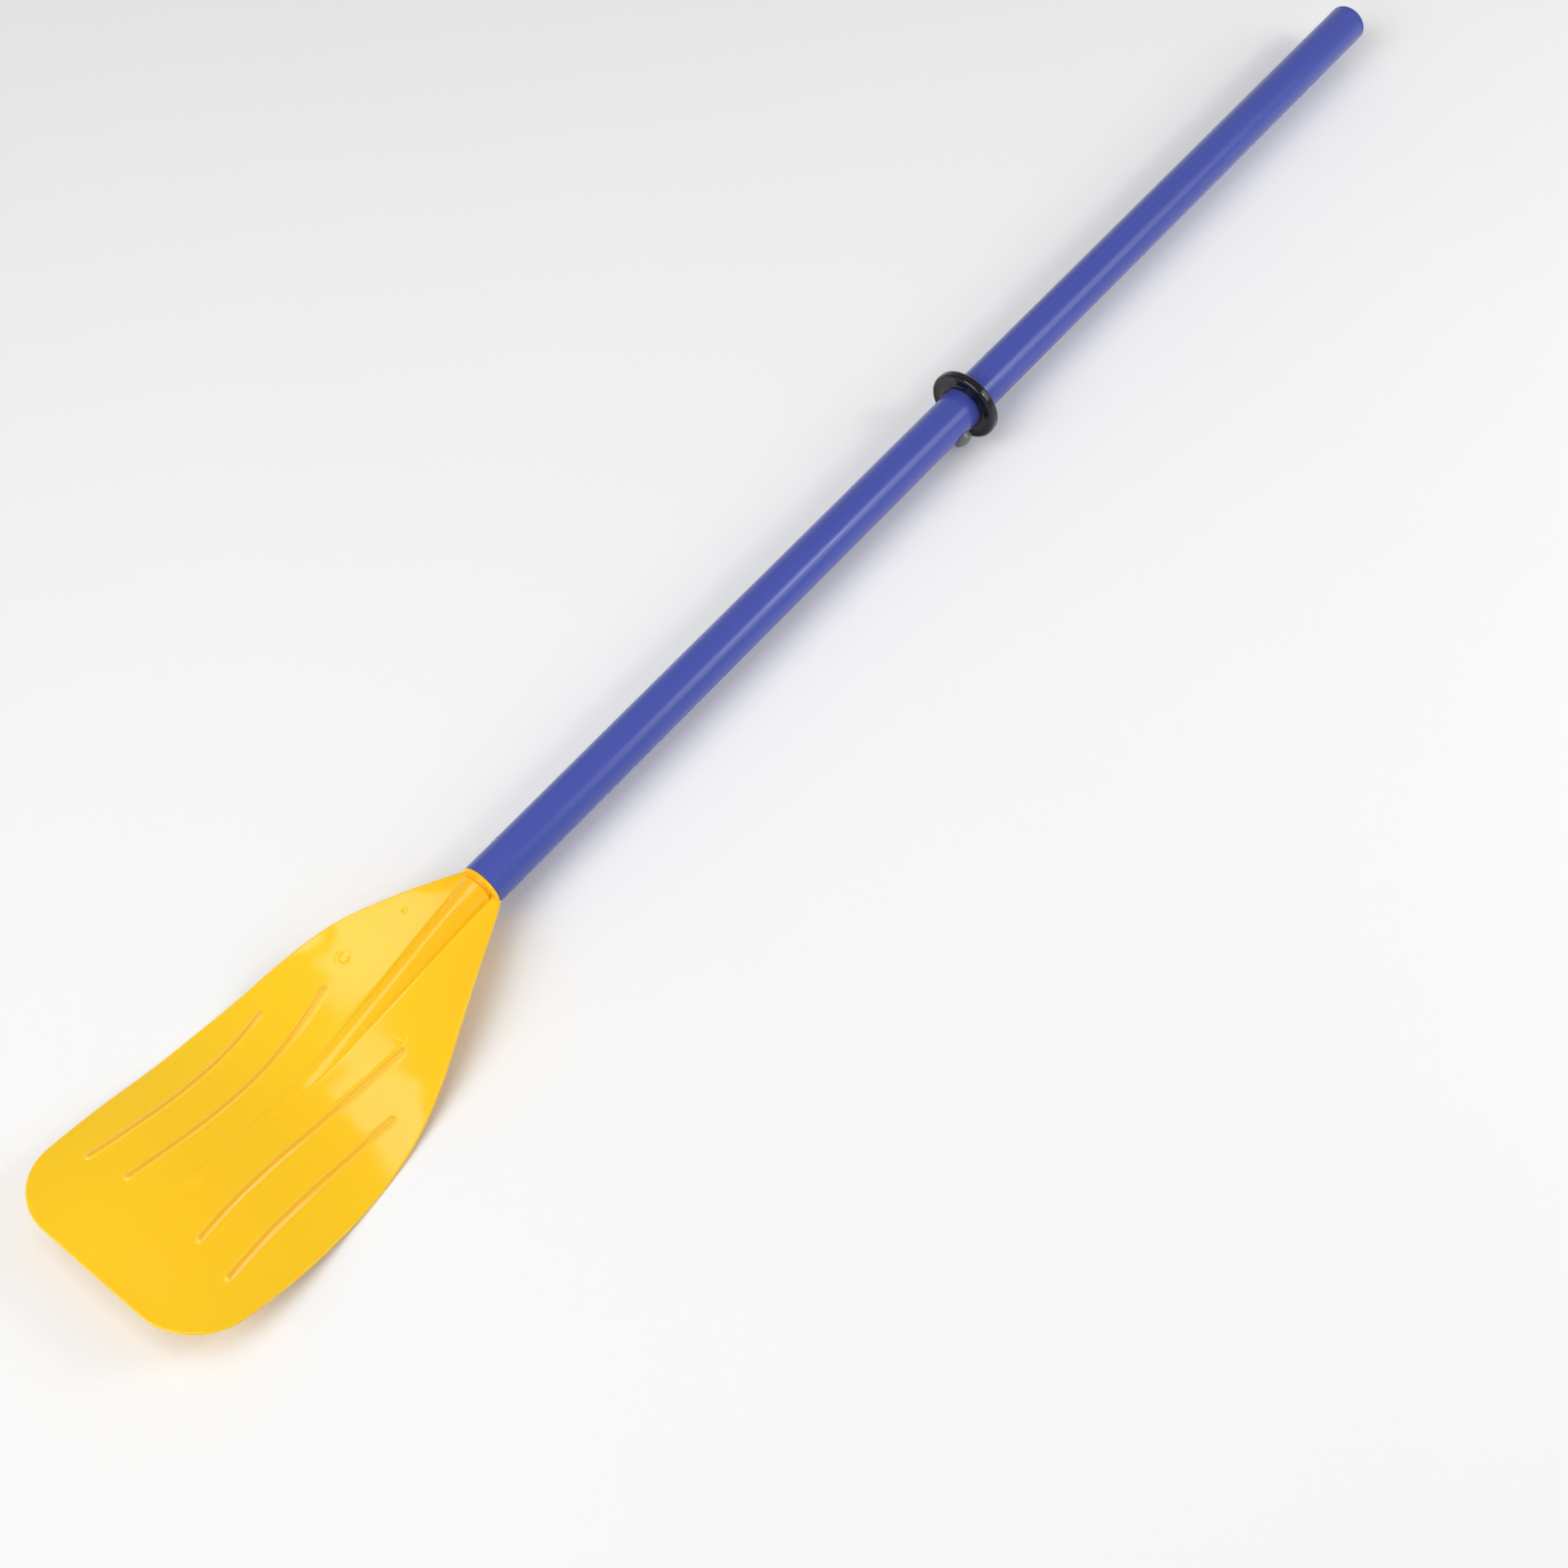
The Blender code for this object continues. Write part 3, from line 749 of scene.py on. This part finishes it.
# ------------------------------------------------------- floor, light, camera
def make_floor():
    bpy.ops.mesh.primitive_plane_add(size=14.0, location=(0.0, 0.0, 0.0))
    floor = bpy.context.object
    floor.name = "floor"
    shader = Shader("floor_white", 0.65)
    cloud = shader.noise(3.0, 2.0)
    shader.feed("Base Color", shader.mix(cloud, (0.90, 0.90, 0.90), (0.92, 0.92, 0.92)))
    floor.data.materials.append(shader.material)


def area_light(name, spot, aim, size, power):
    """A soft box at spot that looks at aim; one that looks down isn't turned."""
    data = bpy.data.lights.new(name, "AREA")
    data.shape = "RECTANGLE"
    data.size, data.size_y = size
    data.energy = power
    light = bpy.data.objects.new(name, data)
    bpy.context.scene.collection.objects.link(light)
    light.location = spot
    direction = Vector(aim) - Vector(spot)
    if abs(direction.x) + abs(direction.y) > 1e-6:
        light.rotation_euler = direction.to_track_quat("-Z", "Y").to_euler()


def make_lights():
    """A pale sky, lighter at the horizon, and the soft boxes."""
    world = bpy.data.worlds.new("studio")
    bpy.context.scene.world = world
    world.use_nodes = True
    nodes, links = world.node_tree.nodes, world.node_tree.links
    sky = nodes["Background"]
    sky.inputs["Color"].default_value = (1.0, 1.0, 1.0, 1.0)
    parts = nodes.new("ShaderNodeSeparateXYZ")
    links.new(nodes.new("ShaderNodeTexCoord").outputs["Generated"], parts.inputs["Vector"])
    ramp = nodes.new("ShaderNodeMapRange")
    for socket, number in (("From Min", 0.0), ("From Max", 0.40),
                           ("To Min", 0.7), ("To Max", 0.38)):
        ramp.inputs[socket].default_value = number
    links.new(parts.outputs["Z"], ramp.inputs["Value"])
    links.new(ramp.outputs["Result"], sky.inputs["Strength"])
    area_light("overhead_box", (-0.65, 0.10, 1.50), (-0.65, 0.10, 0.0), (0.86, 0.91), 6.0)
    area_light("overhead_wing", (-0.56, 0.63, 1.50), (-0.56, 0.63, 0.0), (0.24, 0.16), 0.29)
    area_light("side_box", (1.05, -1.20, 1.05), (1.05, 0.0, 0.0), (1.6, 0.90), 9.5)
    area_light("rim_spark", (0.86, -1.12, 1.20), (0.0, 0.0, 0.0), (0.24, 0.16), 2.5)
    area_light("front_fill", (-4.5, 0.4, 3.6), (0.0, 0.0, 0.0), (4.0, 3.0), 150.0)


def make_camera():
    position = Vector((-0.70902, -0.56170, 1.18048))
    forward = Vector((0.40740, 0.34570, -0.84529))
    upward = Vector((0.66200, 0.52581, 0.53411))
    right = forward.cross(upward).normalized()
    upward = right.cross(forward).normalized()
    back = -forward.normalized()
    data = bpy.data.cameras.new("camera")
    data.lens = 54.0
    data.sensor_width = 36.0
    data.clip_end = 50.0
    camera = bpy.data.objects.new("camera", data)
    bpy.context.scene.collection.objects.link(camera)
    turn = Matrix((right, upward, back)).transposed().to_4x4()
    camera.matrix_world = Matrix.Translation(position) @ turn
    bpy.context.scene.camera = camera


def place(item, material, body, slot, node):
    """Give a piece its material and say which body and CAD node it goes with."""
    item.data.materials.clear()
    item.data.materials.append(material)
    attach(item, body)
    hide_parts(node)


def main():
    bpy.context.scene.view_settings.view_transform = "Standard"
    yellow = blade_material()
    tube = tube_material("shaft_plastic", (0.056, 0.080, 0.385), 0.25)
    black = moulded_material("ring_plastic", (0.003, 0.003, 0.004), 0.10, 0.01)
    grey = moulded_material("button_plastic", (0.13, 0.13, 0.14), 0.30, 0.04)
    white = moulded_material("ferrule_plastic", (0.62, 0.62, 0.60), 0.42, 0.04)
    steel = steel_material()

    pin_hole = PIN_RADIUS + GAP
    lower_holes = ((BLADE_PIN_X, pin_hole, -CUT_REACH, CUT_REACH),
                   (BUTTON_X, BUTTON_RADIUS + GAP, 0.0, CUT_REACH))
    upper_holes = ((FERRULE_PIN_X, pin_hole, -CUT_REACH, CUT_REACH),)
    place(make_blade(), yellow, "blade_half", "blade_yellow", "blade")
    place(make_tube("shaft_lower", LOWER_LOW[0], LOWER_HIGH[0], lower_holes),
          tube, "blade_half", "shaft_blue", "lower_shaft")
    place(make_pin("pin_blade", BLADE_PIN_X),
          steel, "blade_half", "spring_steel", "blade_pin")
    place(make_tube("shaft_upper", UPPER_LOW[0], UPPER_HIGH[0], upper_holes),
          tube, "handle_half", "shaft_blue", "upper_shaft")
    place(make_ferrule(), white, "handle_half", "ferrule_white", "joint_ferrule")
    place(make_pin("pin_ferrule", FERRULE_PIN_X),
          steel, "handle_half", "spring_steel", "ferrule_pin")
    place(make_end_cap(), tube, "handle_half", "shaft_blue", "end_cap")
    spring = make_spring()
    place(spring, steel, "handle_half", "spring_steel", "button_spring")
    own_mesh(spring)
    place(make_button(), grey, "button", "button_grey", "snap_button")
    place(make_ring(), black, "ring", "ring_black", "stop_ring")

    make_floor()
    make_lights()
    make_camera()


main()
